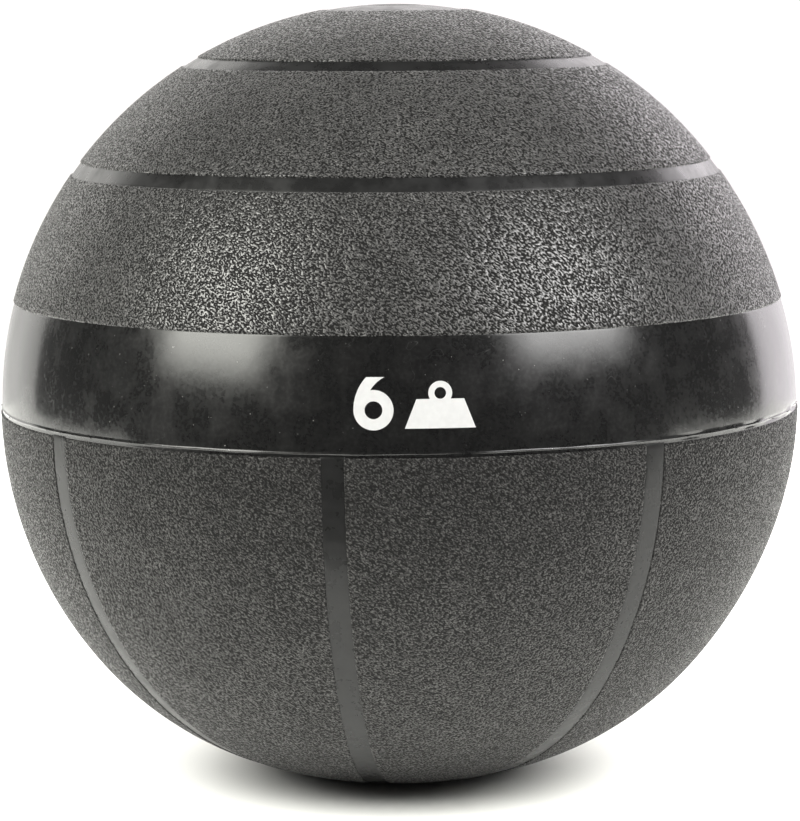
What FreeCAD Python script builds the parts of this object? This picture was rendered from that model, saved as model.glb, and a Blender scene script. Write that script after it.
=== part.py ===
import FreeCAD
import Part
import Sketcher
import math
import os
import re

# A dead-weight rubber medicine ball, standing on the flat that its own weight presses into it.
# Millimetres, +Z up along the ball's axis, origin on the floor under the ball's centre; the printed mark
# faces -Y. A cover of textured panels and smooth strips is laid up on a carcass of two rubber halves.
# The carcass holds a bladder part filled with sand, and a push-in plug closes the neck at the crown.
# Each piece is drawn about the ball's centre and lifted to its height above the floor by its Placement.

SIZES = (
    # alias, value, meaning
    ("ball_radius", 115.0, "outside of the textured panels, mm"),
    ("shoulder_radius", 98.9, "tighter curve of the sagging lower shoulder, mm"),
    ("sag_latitude", 40.0, "where the sag starts, degrees below the girth"),
    ("centre_height", 108.7, "ball centre above the floor, mm"),
    ("cover_thickness", 3.4, "textured panels, mm"),
    ("smooth_recess", 0.4, "smooth strips lie this far below the panels, mm"),
    ("carcass_thickness", 6.0, "rubber carcass wall, mm"),
    ("bladder_thickness", 2.0, "bladder wall, mm"),
    ("band_low", -0.65, "girth band, lower edge, degrees"),
    ("band_high", 15.3, "girth band, upper edge, degrees"),
    ("lower_ring_low", 35.4, "lower ring strip, degrees"),
    ("lower_ring_high", 37.6, "lower ring strip, degrees"),
    ("upper_ring_low", 57.8, "upper ring strip, degrees"),
    ("upper_ring_high", 60.3, "upper ring strip, degrees"),
    ("crown_low", 79.4, "edge of the smooth crown disc, degrees"),
    ("strip_width", 5.8, "meridian strips below the girth, mm"),
    ("strip_count", 8, "meridian strips"),
    ("strip_turn", -8.46, "first strip, degrees right of the front"),
    ("base_radius", 21.0, "smooth disc under the ball, mm"),
    ("bead_height", 0.4, "parting bead round the girth, mm"),
    ("bead_width", 0.9, "parting bead, mm"),
    ("neck_radius", 12.0, "outside of the filler neck, mm"),
    ("neck_bore", 6.0, "bore of the filler neck, mm"),
    ("neck_seat", 110.9, "top face of the neck above the ball centre, mm"),
    ("flange_radius", 16.0, "flange of the neck inside the bladder, mm"),
    ("flange_top", 102.2, "upper face of that flange above the ball centre, mm"),
    ("flange_thickness", 1.6, "mm"),
    ("plug_head", 8.0, "radius of the plug's head, mm"),
    ("plug_hole", 8.3, "radius of the hole it sits in, mm"),
    ("plug_shank", 4.6, "radius of the plug's shank, mm"),
    ("plug_rib", 5.7, "radius of the plug's two ribs, mm"),
    ("plug_length", 13.0, "shank below the head, mm"),
    ("rib_width", 1.6, "mm"),
    ("low_rib_height", 3.4, "first rib above the shank's end, mm"),
    ("high_rib_height", 8.0, "second rib above the shank's end, mm"),
    ("tip_chamfer", 1.2, "end of the shank, mm"),
    ("seat_gap", 0.1, "head above its seat, mm"),
    ("sand_level", 5.4, "top of the sand above the ball centre, mm"),
    ("ink_thickness", 0.06, "printed mark, mm"),
    ("mark_height", 13.0, "middle of the mark above the ball centre, mm"),
    ("numeral_side", -6.1, "middle of the numeral right of the front, mm"),
    ("numeral_bowl", 5.2, "outside radius of the numeral's bowl, mm"),
    ("numeral_stroke", 2.9, "width of the numeral's stroke, mm"),
    ("numeral_drop", 1.6, "bowl's centre below the mark's middle, mm"),
    ("numeral_top", 6.9, "top of the numeral above the mark's middle, mm"),
    ("stem_radius", 12.5, "outside curve of the numeral's stem, mm"),
    ("symbol_side", 11.2, "middle of the weight symbol right of the front, mm"),
    ("symbol_foot_width", 18.4, "width of the weight symbol at its foot, mm"),
    ("symbol_top_width", 12.4, "width of the weight symbol at its shoulders, mm"),
    ("symbol_foot", 6.4, "foot of the symbol below the mark's middle, mm"),
    ("symbol_shoulder", 1.2, "shoulders of the symbol above the mark's middle, mm"),
    ("eye_radius", 3.1, "outside radius of the symbol's ring, mm"),
    ("eye_hole", 1.5, "inside radius of the symbol's ring, mm"),
    ("eye_rise", 2.7, "centre of that ring above the mark's middle, mm"),
)

# The numbers by which a constraint names a sketch's own origin and axes, and the points of a curve.
ORIGIN_POINT = (-1, 1)
H_AXIS = -1
V_AXIS = -2
START = 1
END = 2
CENTRE = 3
FULL_TURN = "360"
TOP_OF_CIRCLE = 90.0
LEFT_OF_CENTRE = 180.0  # the direction of a circle's leftmost point, degrees
SECTION_PLANE = "XZ_Plane"
PLAN_PLANE = "XY_Plane"

# Depths of the layers below the outside of the textured panels.
PANEL_FACE = "0"
STRIP_FACE = "smooth_recess"
CARCASS_FACE = "cover_thickness"
BLADDER_FACE = "cover_thickness + carcass_thickness"
SAND_FACE = "cover_thickness + carcass_thickness + bladder_thickness"

doc = FreeCAD.newDocument("medicine_ball")
sheet = doc.addObject("Spreadsheet::Sheet", "dimensions")
for row, (alias, value, meaning) in enumerate(SIZES, start=1):
    sheet.set(f"A{row}", meaning)
    sheet.set(f"B{row}", str(value))
    sheet.setAlias(f"B{row}", alias)
doc.recompute()

ALIASES = {alias for alias, _, _ in SIZES}
nodes = {}  # the ball's separate pieces, by name


def formula(text):
    """An expression in which each alias names its cell in the sheet."""
    return re.sub("[a-z_]+", lambda word: f"dimensions.{word[0]}" if word[0] in ALIASES else word[0], text)


def number(text):
    """The value of such an expression."""
    return float(sheet.evalExpression(formula(text)))


def at_depth(radius, depth):
    return f"{radius} - ({depth})"


def on_circle(radius, degrees, centre=(0.0, 0.0)):
    angle = math.radians(degrees)
    return FreeCAD.Vector(centre[0] + radius * math.cos(angle), centre[1] + radius * math.sin(angle), 0)


def mirrored(point):
    """The same point on the other side of a plan's X axis."""
    return FreeCAD.Vector(point.x, -point.y, 0)


def keep(label, item, turn="0"):
    """Names a finished piece, turns it about the axis and lifts it to its height above the floor."""
    item.Label = label
    item.Placement = FreeCAD.Placement(
        FreeCAD.Vector(0, 0, number("centre_height")), FreeCAD.Rotation(FreeCAD.Vector(0, 0, 1), number(turn))
    )
    item.setExpression("Placement.Base.z", formula("centre_height"))
    if turn != "0":
        item.setExpression("Placement.Rotation.Angle", formula(turn))
    nodes[label] = item


# ---------------------------------------------------------------- sketch and feature helpers


def new_body(name):
    return doc.addObject("PartDesign::Body", name)


def new_sketch(body, plane, name):
    sketch = body.newObject("Sketcher::SketchObject", f"{body.Name}_{name}")
    origin_plane = next(item for item in body.Origin.OriginFeatures if item.Role == plane)
    sketch.AttachmentSupport = [(origin_plane, "")]
    sketch.MapMode = "FlatFace"
    return sketch


def arc(sketch, centre, radius, low, high):
    whole = Part.Circle(FreeCAD.Vector(centre[0], centre[1], 0), FreeCAD.Vector(0, 0, 1), radius)
    return sketch.addGeometry(Part.ArcOfCircle(whole, math.radians(low), math.radians(high)), False)


def circle(sketch, centre, radius):
    return sketch.addGeometry(Part.Circle(centre, FreeCAD.Vector(0, 0, 1), radius), False)


def line(sketch, start, end, construction=False):
    return sketch.addGeometry(Part.LineSegment(start, end), construction)


def rule(sketch, kind, *items):
    """Adds a geometric constraint."""
    sketch.addConstraint(Sketcher.Constraint(kind, *items))


def bind(sketch, kind, items, text, name):
    """Adds a dimension, driven by an expression of the sheet's cells."""
    angular = kind == "Angle"
    value = math.radians(number(text)) if angular else number(text)
    index = sketch.addConstraint(Sketcher.Constraint(kind, *items, value))
    sketch.renameConstraint(index, name)
    unit = "deg" if angular else "mm"
    sketch.setExpression(f"Constraints.{name}", f"({formula(text)}) * 1 {unit}")


def revolve(body, sketch, degrees=FULL_TURN, midplane=False):
    turned = body.newObject("PartDesign::Revolution", f"{sketch.Name}_turned")
    turned.Profile = sketch
    turned.ReferenceAxis = (sketch, ["V_Axis"])
    turned.Angle = number(degrees)
    turned.setExpression("Angle", formula(degrees))
    turned.Midplane = midplane
    body.Tip = turned


def pad(body, sketch, length, midplane=False):
    raised = body.newObject("PartDesign::Pad", f"{sketch.Name}_pad")
    raised.Profile = sketch
    raised.Length = number(length)
    raised.setExpression("Length", formula(length))
    raised.Midplane = midplane
    body.Tip = raised


def closed_outline(sketch, corners):
    """Straight edges through corners given as pairs of expressions, each corner driven from the origin."""
    points = [FreeCAD.Vector(number(x), number(y), 0) for x, y in corners]
    edges = [line(sketch, a, b) for a, b in zip(points, points[1:] + points[:1])]
    for i, (x, y) in enumerate(corners):
        rule(sketch, "Coincident", edges[i - 1], END, edges[i], START)
        for kind, axis, text in (("DistanceX", V_AXIS, x), ("DistanceY", H_AXIS, y)):
            if number(text) == 0.0:
                rule(sketch, "PointOnObject", edges[i], START, axis)
            else:
                bind(sketch, kind, (*ORIGIN_POINT, edges[i], START), text, f"{kind}_{i}")


def sector_ends(sketch, outside, inside, low_edge, high_edge):
    """Closes the outline between two arcs about the ball's centre with an edge at each end."""
    for curve in (outside, inside):
        rule(sketch, "Coincident", curve, CENTRE, *ORIGIN_POINT)
    for edge, end in ((low_edge, START), (high_edge, END)):
        rule(sketch, "Coincident", edge, START, inside, end)
        rule(sketch, "Coincident", edge, END, outside, end)


def on_ray(sketch, edge, latitude, name):
    """Lays an edge on the ray from the ball's centre at a latitude."""
    rule(sketch, "PointOnObject", *ORIGIN_POINT, edge)
    bind(sketch, "Angle", (edge,), latitude, name)


# ---------------------------------------------------------------- the upper half and the girth


def zone_body(name, face, back, low, high):
    """A ring of a layer between two depths and two latitudes."""
    body = new_body(name)
    sketch = new_sketch(body, SECTION_PLANE, "section")
    outer, inner = at_depth("ball_radius", face), at_depth("ball_radius", back)
    start, stop = number(low), number(high)
    outside = arc(sketch, (0, 0), number(outer), start, stop)
    inside = arc(sketch, (0, 0), number(inner), start, stop)
    low_edge = line(sketch, on_circle(number(inner), start), on_circle(number(outer), start))
    high_edge = line(sketch, on_circle(number(inner), stop), on_circle(number(outer), stop))
    sector_ends(sketch, outside, inside, low_edge, high_edge)
    bind(sketch, "Radius", (outside,), outer, "outer_radius")
    bind(sketch, "Radius", (inside,), inner, "inner_radius")
    on_ray(sketch, low_edge, low, "low_latitude")
    on_ray(sketch, high_edge, high, "high_latitude")
    revolve(body, sketch)
    return body


def dome_body(name, face, back, low, hole):
    """A cap of a layer, from a latitude up to a round hole at the crown."""
    body = new_body(name)
    sketch = new_sketch(body, SECTION_PLANE, "section")
    outer, inner = at_depth("ball_radius", face), at_depth("ball_radius", back)
    start, hole_radius = number(low), number(hole)
    tops = [math.degrees(math.acos(hole_radius / number(radius))) for radius in (outer, inner)]
    outside = arc(sketch, (0, 0), number(outer), start, tops[0])
    inside = arc(sketch, (0, 0), number(inner), start, tops[1])
    low_edge = line(sketch, on_circle(number(inner), start), on_circle(number(outer), start))
    wall = line(sketch, on_circle(number(inner), tops[1]), on_circle(number(outer), tops[0]))
    sector_ends(sketch, outside, inside, low_edge, wall)
    bind(sketch, "Radius", (outside,), outer, "outer_radius")
    bind(sketch, "Radius", (inside,), inner, "inner_radius")
    on_ray(sketch, low_edge, low, "low_latitude")
    rule(sketch, "Vertical", wall)
    bind(sketch, "DistanceX", (*ORIGIN_POINT, wall, START), hole, "hole_radius")
    revolve(body, sketch)
    return body


def girth_band():
    """The smooth band above the parting line, with the bead that the mould's joint leaves."""
    body = zone_body("girth_band", STRIP_FACE, CARCASS_FACE, "band_low", "band_high")
    sketch = new_sketch(body, SECTION_PLANE, "bead")
    root = "ball_radius - smooth_recess - bead_height"
    crest = "ball_radius - smooth_recess + bead_height"
    half = "bead_width / 2"
    closed_outline(sketch, ((root, f"-{half}"), (crest, "0"), (root, half)))
    revolve(body, sketch)
    return body


# ---------------------------------------------------------------- the lower half, which sags to a flat foot


def sag_ray(sketch):
    """A construction line from the ball's centre through the start of the sag."""
    ray = line(
        sketch, FreeCAD.Vector(0, 0, 0), on_circle(number("ball_radius"), -number("sag_latitude")), True
    )
    rule(sketch, "Coincident", ray, START, *ORIGIN_POINT)
    bind(sketch, "Angle", (ray,), "-sag_latitude", "sag_starts")
    bind(sketch, "Distance", (ray,), "ball_radius", "ray_length")
    return ray


def sagged_curve(sketch, ray, depth, stop, foot, name):
    """One face of the lower half at a depth: sphere, tighter shoulder and flat foot out from a radius.

    Returns the sphere's arc, the foot's line and the foot's inner end.
    """
    start = -number("sag_latitude")
    middle = on_circle(number("ball_radius - shoulder_radius"), start)
    tight = number(at_depth("shoulder_radius", depth))
    floor = -number(at_depth("centre_height", depth))
    foot_angle = math.degrees(math.asin((floor - middle.y) / tight))
    sphere = arc(sketch, (0, 0), number(at_depth("ball_radius", depth)), start, stop)
    shoulder = arc(sketch, middle, tight, foot_angle, start)
    inner_end = FreeCAD.Vector(foot, floor, 0)
    flat = line(sketch, inner_end, on_circle(tight, foot_angle, middle))
    rule(sketch, "Coincident", sphere, CENTRE, *ORIGIN_POINT)
    rule(sketch, "Coincident", sphere, START, shoulder, END)
    rule(sketch, "Coincident", shoulder, START, flat, END)
    rule(sketch, "PointOnObject", sphere, START, ray)
    rule(sketch, "PointOnObject", shoulder, CENTRE, ray)
    rule(sketch, "Horizontal", flat)
    bind(sketch, "Radius", (sphere,), at_depth("ball_radius", depth), f"{name}_radius")
    bind(sketch, "Radius", (shoulder,), at_depth("shoulder_radius", depth), f"{name}_shoulder")
    bind(sketch, "DistanceY", (flat, START, *ORIGIN_POINT), at_depth("centre_height", depth), f"{name}_foot")
    return sphere, flat, inner_end


def sagged_section(body, face, back, top, foot=None, top_is_hole=False):
    """The section of a layer of the lower half between two depths.

    top is a latitude, or with top_is_hole the radius of a hole at the crown. foot is the radius at which
    the flat foot stops short of the axis; without it the layer closes under the ball.
    """
    sketch = new_sketch(body, SECTION_PLANE, "section")
    ray = sag_ray(sketch)
    foot_radius = number(foot) if foot else 0.0
    spheres, flats, inner_ends, stops = [], [], [], []
    for depth, name in ((face, "face"), (back, "back")):
        radius = number(at_depth("ball_radius", depth))
        stop = math.degrees(math.acos(number(top) / radius)) if top_is_hole else number(top)
        sphere, flat, inner_end = sagged_curve(sketch, ray, depth, stop, foot_radius, name)
        spheres.append(sphere)
        flats.append(flat)
        inner_ends.append(inner_end)
        stops.append(on_circle(radius, stop))
    closing = line(sketch, inner_ends[1], inner_ends[0])
    top_edge = line(sketch, stops[1], stops[0])
    rule(sketch, "Coincident", closing, START, flats[1], START)
    rule(sketch, "Coincident", closing, END, flats[0], START)
    rule(sketch, "Coincident", top_edge, START, spheres[1], END)
    rule(sketch, "Coincident", top_edge, END, spheres[0], END)
    rule(sketch, "Vertical", closing)
    if foot:
        bind(sketch, "DistanceX", (*ORIGIN_POINT, closing, START), foot, "foot_radius")
    else:
        rule(sketch, "PointOnObject", closing, START, V_AXIS)
    if top_is_hole:
        rule(sketch, "Vertical", top_edge)
        bind(sketch, "DistanceX", (*ORIGIN_POINT, top_edge, START), top, "hole_radius")
    else:
        on_ray(sketch, top_edge, top, "top_latitude")
    return sketch


def carcass_lower():
    body = new_body("carcass_lower")
    revolve(body, sagged_section(body, CARCASS_FACE, BLADDER_FACE, "0"))
    return body


def inner_bladder():
    body = new_body("inner_bladder")
    revolve(body, sagged_section(body, BLADDER_FACE, SAND_FACE, "neck_radius", top_is_hole=True))
    return body


def sand_fill():
    """The sand as it lies: it fills the lower part of the bladder up to a level top."""
    body = new_body("sand_fill")
    sketch = new_sketch(body, SECTION_PLANE, "section")
    ray = sag_ray(sketch)
    radius = number(at_depth("ball_radius", SAND_FACE))
    stop = math.degrees(math.asin(number("sand_level") / radius))
    wall, foot, foot_centre = sagged_curve(sketch, ray, SAND_FACE, stop, 0.0, "sand")
    top_centre = FreeCAD.Vector(0, number("sand_level"), 0)
    axis = line(sketch, foot_centre, top_centre)
    top = line(sketch, top_centre, on_circle(radius, stop))
    rule(sketch, "Coincident", axis, START, foot, START)
    rule(sketch, "Coincident", axis, END, top, START)
    rule(sketch, "Coincident", top, END, wall, END)
    rule(sketch, "PointOnObject", axis, START, V_AXIS)
    rule(sketch, "Vertical", axis)
    rule(sketch, "Horizontal", top)
    bind(sketch, "DistanceY", (*ORIGIN_POINT, top, START), "sand_level", "level")
    revolve(body, sketch)
    return body


def lower_strip(name):
    """A smooth strip of constant width from the girth band down to the disc under the ball, along +X."""
    body = new_body(name)
    sketch = sagged_section(body, STRIP_FACE, CARCASS_FACE, "band_low", foot="base_radius")
    pad(body, sketch, "strip_width", midplane=True)
    return body


def lower_panel(name):
    """A textured panel between two strips, about +X: an equal share of the layer, cut back at each side."""
    body = new_body(name)
    share = "360 / strip_count"
    section = sagged_section(body, PANEL_FACE, CARCASS_FACE, "band_low", foot="base_radius")
    revolve(body, section, share, midplane=True)
    doc.recompute()
    sketch = new_sketch(body, PLAN_PLANE, "strip_room")
    half_angle = math.radians(number(share) / 2)
    half_width = number("strip_width") / 2
    reach = number("ball_radius + strip_width")
    point = FreeCAD.Vector(half_width / math.sin(half_angle), 0, 0)
    tip = point + FreeCAD.Vector(reach, reach * math.tan(half_angle), 0)
    tail = FreeCAD.Vector(-number("strip_width"), 0, 0)
    wing = FreeCAD.Vector(tip.x, (tip.x - tail.x) * math.tan(half_angle), 0)
    corners = (point, tip, wing, tail, mirrored(wing), mirrored(tip))
    side, end, back, far_back, far_end, far_side = [
        line(sketch, a, b) for a, b in zip(corners, corners[1:] + corners[:1])
    ]
    outline = (side, end, back, far_back, far_end, far_side)
    for before, edge in zip(outline[-1:] + outline[:-1], outline):
        rule(sketch, "Coincident", before, END, edge, START)
    rule(sketch, "PointOnObject", side, START, H_AXIS)
    rule(sketch, "PointOnObject", far_back, START, H_AXIS)
    rule(sketch, "Symmetric", end, START, far_side, START, H_AXIS)
    rule(sketch, "Symmetric", back, START, far_end, START, H_AXIS)
    rule(sketch, "Parallel", side, back)
    rule(sketch, "Vertical", end)
    bind(sketch, "Angle", (side,), "180 / strip_count", "half_share")
    bind(sketch, "Distance", (*ORIGIN_POINT, side), "strip_width / 2", "half_strip")
    bind(sketch, "DistanceX", (far_back, START, *ORIGIN_POINT), "strip_width", "tail")
    bind(sketch, "DistanceX", (side, START, side, END), "ball_radius + strip_width", "reach")
    room = body.newObject("PartDesign::Pocket", f"{name}_strip_room_cut")
    room.Profile = sketch
    room.Type = "ThroughAll"
    room.Midplane = True
    body.Tip = room
    return body


# ---------------------------------------------------------------- the filler neck and its plug


def filler_neck():
    """A moulded bush through carcass and bladder, with a flange inside the bladder."""
    body = new_body("filler_neck")
    sketch = new_sketch(body, SECTION_PLANE, "section")
    flange_under = "flange_top - flange_thickness"
    closed_outline(
        sketch,
        (
            ("neck_bore", flange_under),
            ("flange_radius", flange_under),
            ("flange_radius", "flange_top"),
            ("neck_radius", "flange_top"),
            ("neck_radius", "neck_seat"),
            ("neck_bore", "neck_seat"),
        ),
    )
    revolve(body, sketch)
    return body


def filler_plug():
    """A push-in plug: a head flush with the crown disc and a shank with two gripping ribs."""
    body = new_body("filler_plug")
    sketch = new_sketch(body, SECTION_PLANE, "shank")
    seat = "neck_seat + seat_gap"
    tip = f"{seat} - plug_length"
    corners = [("0", tip), ("plug_shank - tip_chamfer", tip), ("plug_shank", f"{tip} + tip_chamfer")]
    for height in ("low_rib_height", "high_rib_height"):
        foot = f"{tip} + {height}"
        corners += [
            ("plug_shank", foot),
            ("plug_rib", f"{foot} + rib_width / 2"),
            ("plug_shank", f"{foot} + rib_width"),
        ]
    corners += [("plug_shank", seat), ("0", seat)]
    closed_outline(sketch, corners)
    revolve(body, sketch)

    head = new_sketch(body, SECTION_PLANE, "head")
    outer = "ball_radius - smooth_recess"
    radius, rim = number(outer), number("plug_head")
    rim_angle = math.degrees(math.acos(rim / radius))
    top = arc(head, (0, 0), radius, rim_angle, TOP_OF_CIRCLE)
    wall = line(head, FreeCAD.Vector(rim, number(seat), 0), on_circle(radius, rim_angle))
    under = line(head, FreeCAD.Vector(0, number(seat), 0), FreeCAD.Vector(rim, number(seat), 0))
    axis = line(head, FreeCAD.Vector(0, radius, 0), FreeCAD.Vector(0, number(seat), 0))
    rule(head, "Coincident", top, CENTRE, *ORIGIN_POINT)
    rule(head, "Coincident", top, START, wall, END)
    rule(head, "Coincident", wall, START, under, END)
    rule(head, "Coincident", under, START, axis, END)
    rule(head, "Coincident", axis, START, top, END)
    rule(head, "Vertical", wall)
    rule(head, "Horizontal", under)
    rule(head, "PointOnObject", axis, START, V_AXIS)
    rule(head, "PointOnObject", axis, END, V_AXIS)
    bind(head, "Radius", (top,), outer, "crown_radius")
    bind(head, "DistanceX", (*ORIGIN_POINT, wall, START), "plug_head", "head_radius")
    bind(head, "DistanceY", (*ORIGIN_POINT, wall, START), seat, "seat")
    revolve(body, head)
    return body


# ---------------------------------------------------------------- the printed mark


def ring_sketch(body, name, side, height, radius, hole):
    """Two circles about one centre."""
    sketch = new_sketch(body, SECTION_PLANE, name)
    centre = FreeCAD.Vector(number(side), number(height), 0)
    rim = circle(sketch, centre, number(radius))
    eye = circle(sketch, centre, number(hole))
    rule(sketch, "Coincident", rim, CENTRE, eye, CENTRE)
    bind(sketch, "Radius", (rim,), radius, "rim")
    bind(sketch, "Radius", (eye,), hole, "eye")
    bind(sketch, "DistanceX", (*ORIGIN_POINT, rim, CENTRE), side, "side")
    bind(sketch, "DistanceY", (*ORIGIN_POINT, rim, CENTRE), height, "height")
    return sketch


def numeral_stamp():
    """A plain numeral six, as a block reaching forward from the ball's centre plane."""
    body = new_body("numeral_stamp")
    middle = "mark_height - numeral_drop"
    bowl = ring_sketch(
        body, "bowl", "numeral_side", middle, "numeral_bowl", "numeral_bowl - numeral_stroke"
    )
    pad(body, bowl, "ball_radius")

    stem = new_sketch(body, SECTION_PLANE, "stem")
    side = "numeral_side - numeral_bowl + stem_radius"
    centre = FreeCAD.Vector(number(side), number(middle), 0)
    outer, inner = number("stem_radius"), number("stem_radius - numeral_stroke")
    rise = number("numeral_top + numeral_drop")
    outer_end = LEFT_OF_CENTRE - math.degrees(math.asin(rise / outer))
    inner_end = LEFT_OF_CENTRE - math.degrees(math.asin(rise / inner))
    outside = arc(stem, centre, outer, outer_end, LEFT_OF_CENTRE)
    inside = arc(stem, centre, inner, inner_end, LEFT_OF_CENTRE)
    foot = line(stem, on_circle(outer, LEFT_OF_CENTRE, centre), on_circle(inner, LEFT_OF_CENTRE, centre))
    top = line(stem, on_circle(outer, outer_end, centre), on_circle(inner, inner_end, centre))
    rule(stem, "Coincident", outside, CENTRE, inside, CENTRE)
    rule(stem, "Coincident", foot, START, outside, END)
    rule(stem, "Coincident", foot, END, inside, END)
    rule(stem, "Coincident", top, START, outside, START)
    rule(stem, "Coincident", top, END, inside, START)
    rule(stem, "Horizontal", foot)
    rule(stem, "Horizontal", top)
    bind(stem, "Radius", (outside,), "stem_radius", "stem_outside")
    bind(stem, "Radius", (inside,), "stem_radius - numeral_stroke", "stem_inside")
    bind(stem, "DistanceX", (*ORIGIN_POINT, outside, CENTRE), side, "side")
    bind(stem, "DistanceY", (*ORIGIN_POINT, outside, CENTRE), middle, "height")
    bind(stem, "DistanceY", (outside, CENTRE, top, START), "numeral_top + numeral_drop", "rise")
    bind(stem, "DistanceY", (*ORIGIN_POINT, foot, START), middle, "foot_height")
    pad(body, stem, "ball_radius")
    return body


def symbol_stamp():
    """A plain weight, a trapezium with a ring on top, as a block like the numeral's."""
    body = new_body("symbol_stamp")
    block = new_sketch(body, SECTION_PLANE, "block")
    foot, shoulder = "mark_height - symbol_foot", "mark_height + symbol_shoulder"
    closed_outline(
        block,
        (
            ("symbol_side - symbol_foot_width / 2", foot),
            ("symbol_side + symbol_foot_width / 2", foot),
            ("symbol_side + symbol_top_width / 2", shoulder),
            ("symbol_side - symbol_top_width / 2", shoulder),
        ),
    )
    pad(body, block, "ball_radius")
    eye = ring_sketch(body, "eye", "symbol_side", "mark_height + eye_rise", "eye_radius", "eye_hole")
    pad(body, eye, "ball_radius")
    return body


def ink_film():
    """The thin shell, just outside the girth band, from which the mark is cut."""
    spheres = []
    for name, radius in (
        ("ink_face", "ball_radius - smooth_recess + ink_thickness"),
        ("ink_back", "ball_radius - smooth_recess"),
    ):
        sphere = doc.addObject("Part::Sphere", name)
        sphere.Radius = number(radius)
        sphere.setExpression("Radius", formula(radius))
        spheres.append(sphere)
    film = doc.addObject("Part::Cut", "ink_film")
    film.Base, film.Tool = spheres
    return film


def printed(label, stamp, film):
    mark = doc.addObject("Part::Common", label)
    mark.Base = stamp
    mark.Tool = film
    return mark


# ---------------------------------------------------------------- the ball

keep("girth_band", girth_band())
for label, face, low, high in (
    ("lower_ring_strip", STRIP_FACE, "lower_ring_low", "lower_ring_high"),
    ("upper_ring_strip", STRIP_FACE, "upper_ring_low", "upper_ring_high"),
    ("shoulder_panel", PANEL_FACE, "band_high", "lower_ring_low"),
    ("middle_panel", PANEL_FACE, "lower_ring_high", "upper_ring_low"),
    ("crown_panel", PANEL_FACE, "upper_ring_high", "crown_low"),
):
    keep(label, zone_body(f"{label}_body", face, CARCASS_FACE, low, high))
keep("crown_disc", dome_body("crown_disc", STRIP_FACE, CARCASS_FACE, "crown_low", "plug_hole"))

# A strip or panel is drawn along +X and turned to its own place, counted from the front, which is -Y.
FRONT_TURN = "-90"
for place in range(int(number("strip_count"))):
    strip_turn = f"{FRONT_TURN} + strip_turn + {place} * 360 / strip_count"
    panel_turn = f"{strip_turn} + 180 / strip_count"
    keep(f"lower_strip_{place + 1}", lower_strip(f"strip_{place + 1}"), strip_turn)
    keep(f"lower_panel_{place + 1}", lower_panel(f"panel_{place + 1}"), panel_turn)

base_disc = doc.addObject("Part::Cylinder", "base_disc")
for part_size, cell in (("Radius", "base_radius"), ("Height", "cover_thickness")):
    setattr(base_disc, part_size, number(cell))
    base_disc.setExpression(part_size, formula(cell))
base_disc.Placement = FreeCAD.Placement()  # the disc lies on the floor
nodes["base_disc"] = base_disc

keep("carcass_upper", dome_body("carcass_upper", CARCASS_FACE, BLADDER_FACE, "0", "neck_radius"))
keep("carcass_lower", carcass_lower())
keep("inner_bladder", inner_bladder())
keep("sand_fill", sand_fill())
keep("filler_neck", filler_neck())
keep("filler_plug", filler_plug())

film = ink_film()
keep("weight_numeral", printed("weight_numeral", numeral_stamp(), film))
keep("weight_symbol", printed("weight_symbol", symbol_stamp(), film))

doc.recompute()

# ---------------------------------------------------------------- checks, then one STEP file a piece

failed = [item.Name for item in doc.Objects if {"Invalid", "Error"} & set(item.State)]
if failed:
    raise RuntimeError(f"features that failed: {failed}")
for label, item in nodes.items():
    if item.Shape.isNull() or not item.Shape.isValid() or not item.Shape.Solids:
        raise RuntimeError(f"{label} has no valid solid")

os.makedirs("parts", exist_ok=True)
for label, item in nodes.items():
    item.Shape.exportStep(f"parts/{label}.step")
    box = item.Shape.BoundBox
    print(
        f"{label:18s} {len(item.Shape.Solids)} solid  {item.Shape.Volume / 1000:9.2f} cm3"
        f"  z {box.ZMin:7.2f} to {box.ZMax:7.2f}"
    )
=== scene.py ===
import math

import bpy
import numpy as np
from mathutils import Matrix, Vector


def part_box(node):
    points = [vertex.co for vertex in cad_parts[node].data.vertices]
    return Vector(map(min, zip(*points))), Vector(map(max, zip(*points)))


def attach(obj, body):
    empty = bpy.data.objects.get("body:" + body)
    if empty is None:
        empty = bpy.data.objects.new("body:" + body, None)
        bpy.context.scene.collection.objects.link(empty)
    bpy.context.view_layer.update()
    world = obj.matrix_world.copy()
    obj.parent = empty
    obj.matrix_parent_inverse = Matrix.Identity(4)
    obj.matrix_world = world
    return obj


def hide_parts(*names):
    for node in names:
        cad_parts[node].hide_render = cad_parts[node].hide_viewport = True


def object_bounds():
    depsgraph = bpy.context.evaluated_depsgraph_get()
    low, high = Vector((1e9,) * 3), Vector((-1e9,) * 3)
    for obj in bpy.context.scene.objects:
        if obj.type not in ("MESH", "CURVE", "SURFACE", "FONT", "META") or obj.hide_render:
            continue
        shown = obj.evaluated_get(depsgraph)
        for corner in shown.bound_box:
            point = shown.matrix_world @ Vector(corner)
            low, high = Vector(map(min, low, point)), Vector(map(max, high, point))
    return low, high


# A dead-weight rubber medicine ball: grippy textured panels between smooth strips, a glossy girth band
# with a printed mark, a smooth crown disc with a filler plug, and a flat where it stands. Metres.

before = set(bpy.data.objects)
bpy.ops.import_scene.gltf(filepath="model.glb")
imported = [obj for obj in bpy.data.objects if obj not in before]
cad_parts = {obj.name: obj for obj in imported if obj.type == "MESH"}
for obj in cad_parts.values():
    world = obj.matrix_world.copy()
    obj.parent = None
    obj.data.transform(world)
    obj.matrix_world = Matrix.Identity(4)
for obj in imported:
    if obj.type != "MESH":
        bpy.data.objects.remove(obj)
CAD_BOX = [list(corner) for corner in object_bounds()]

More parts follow.
